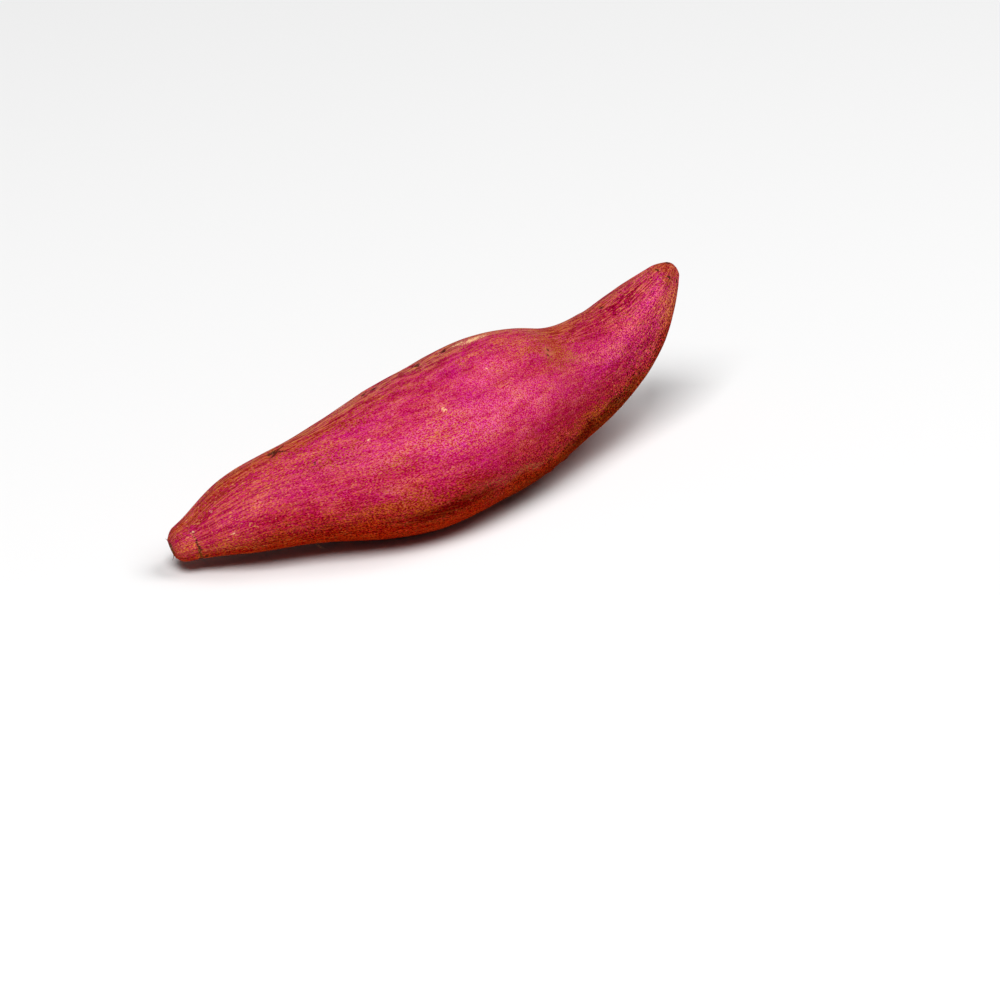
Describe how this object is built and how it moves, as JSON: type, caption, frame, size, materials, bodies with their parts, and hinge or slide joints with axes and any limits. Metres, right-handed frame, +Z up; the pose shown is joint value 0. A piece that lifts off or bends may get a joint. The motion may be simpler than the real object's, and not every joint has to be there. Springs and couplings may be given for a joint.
{
  "type": "sweet potato",
  "caption": "Long swollen sweet potato root, thick in the middle, with a tapered snapped tail and a rounded stem end that bends up; it lies on its belly.",
  "frame": {"origin": "centre of the outer box's base, at the surface that the root lies on", "axes": "+X along the root from its tail to its stem end, +Z up"},
  "size_m": [0.2612, 0.0756, 0.0633],
  "materials": {
    "skin": "satin"
  },
  "bodies": {
    "root": {"sweet_potato": "skin"}
  },
  "joints": []
}
